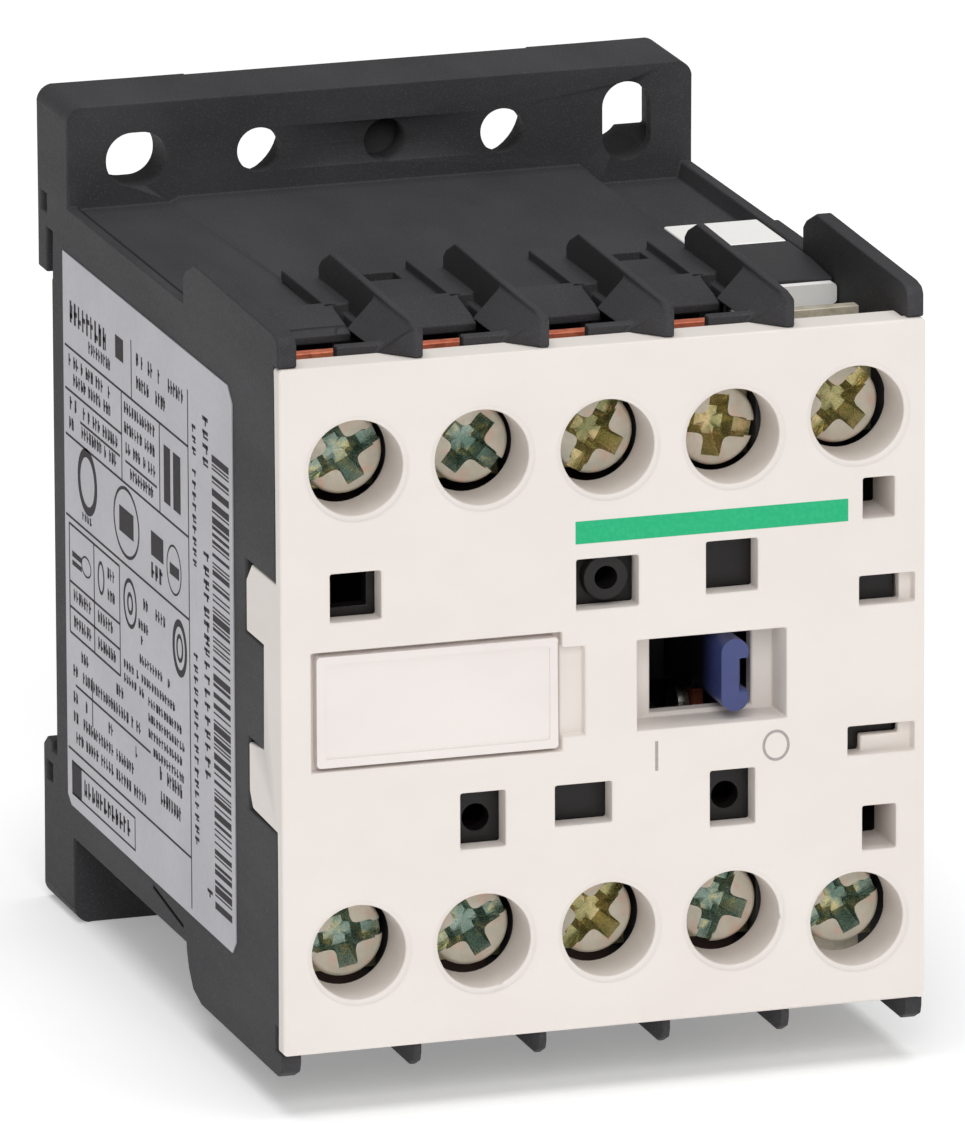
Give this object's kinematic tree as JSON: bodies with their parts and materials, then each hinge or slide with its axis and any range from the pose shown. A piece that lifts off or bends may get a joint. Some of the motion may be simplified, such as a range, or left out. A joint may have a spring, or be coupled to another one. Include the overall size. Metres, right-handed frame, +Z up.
{
  "type": "din rail contactor",
  "caption": "Compact rail-mounted contactor with screw terminals in two rows, finned dark base, pale front cover and a blue sliding contact indicator.",
  "frame": {"origin": "centre of the rail seat on the rear panel plane, midway between the rows of panel holes", "axes": "+Z up along the tall side of the mounting plate, +X to the right seen from the front, front face towards -Y"},
  "size_m": [0.0451, 0.057, 0.058],
  "materials": {
    "dark_plastic": "fine grained",
    "cream_plastic": "fine grained",
    "black_plastic": "moulded",
    "label": "satin film",
    "white_plastic": "moulded",
    "blue_plastic": "moulded",
    "copper": "copper, satin",
    "silver": "silver, satin",
    "tape": "film",
    "zinc": "yellow passivated zinc",
    "core_steel": "ground",
    "spring_steel": "drawn",
    "rubber": "matte"
  },
  "bodies": {
    "housing": {"base_housing": "dark_plastic", "front_housing": "cream_plastic", "contact_block": "dark_plastic", "arc_shield": "black_plastic", "marker_plate": "cream_plastic", "side_label": "label", "coil_bobbin": "white_plastic", "coil_winding": "copper", "coil_wrap": "tape", "coil_leads": "copper", "coil_terminals": "zinc", "fixed_core": "core_steel", "core_pad": "rubber", "return_spring": "spring_steel", "upper_pole_plates": "copper", "lower_pole_plates": "copper", "fixed_tips": "silver", "pole_screws": "zinc", "coil_screws": "zinc", "pole_clamps": "zinc", "coil_clamps": "zinc", "pole_nuts": "core_steel", "coil_nuts": "core_steel"},
    "carrier": {"contact_carrier": "blue_plastic", "armature": "core_steel", "armature_pin": "spring_steel", "contact_springs": "spring_steel"},
    "bridges": {"moving_bridges": "copper", "moving_tips": "silver"},
    "rail_spring": {"rail_spring": "spring_steel"}
  },
  "joints": [
    {"name": "carrier_slide", "type": "slide", "parent": "housing", "child": "carrier", "axis": [1, 0, 0], "range_m": [-0.0035, 0], "stiffness_N_per_m": 500, "springref_m": 0.006, "deforming": ["return_spring"]},
    {"name": "bridges_slide", "type": "slide", "parent": "carrier", "child": "bridges", "axis": [1, 0, 0], "range_m": [0, 0.0011], "deforming": ["contact_springs"]},
    {"name": "rail_spring_lift", "type": "slide", "parent": "housing", "child": "rail_spring", "axis": [0, 0, 1], "range_m": [0, 0.0012], "stiffness_N_per_m": 800, "springref_m": -0.002, "deforming": ["rail_spring"]}
  ],
  "couplings": [
    {"joint": "bridges_slide", "follows": "carrier_slide", "ratio": -0.31428}
  ]
}
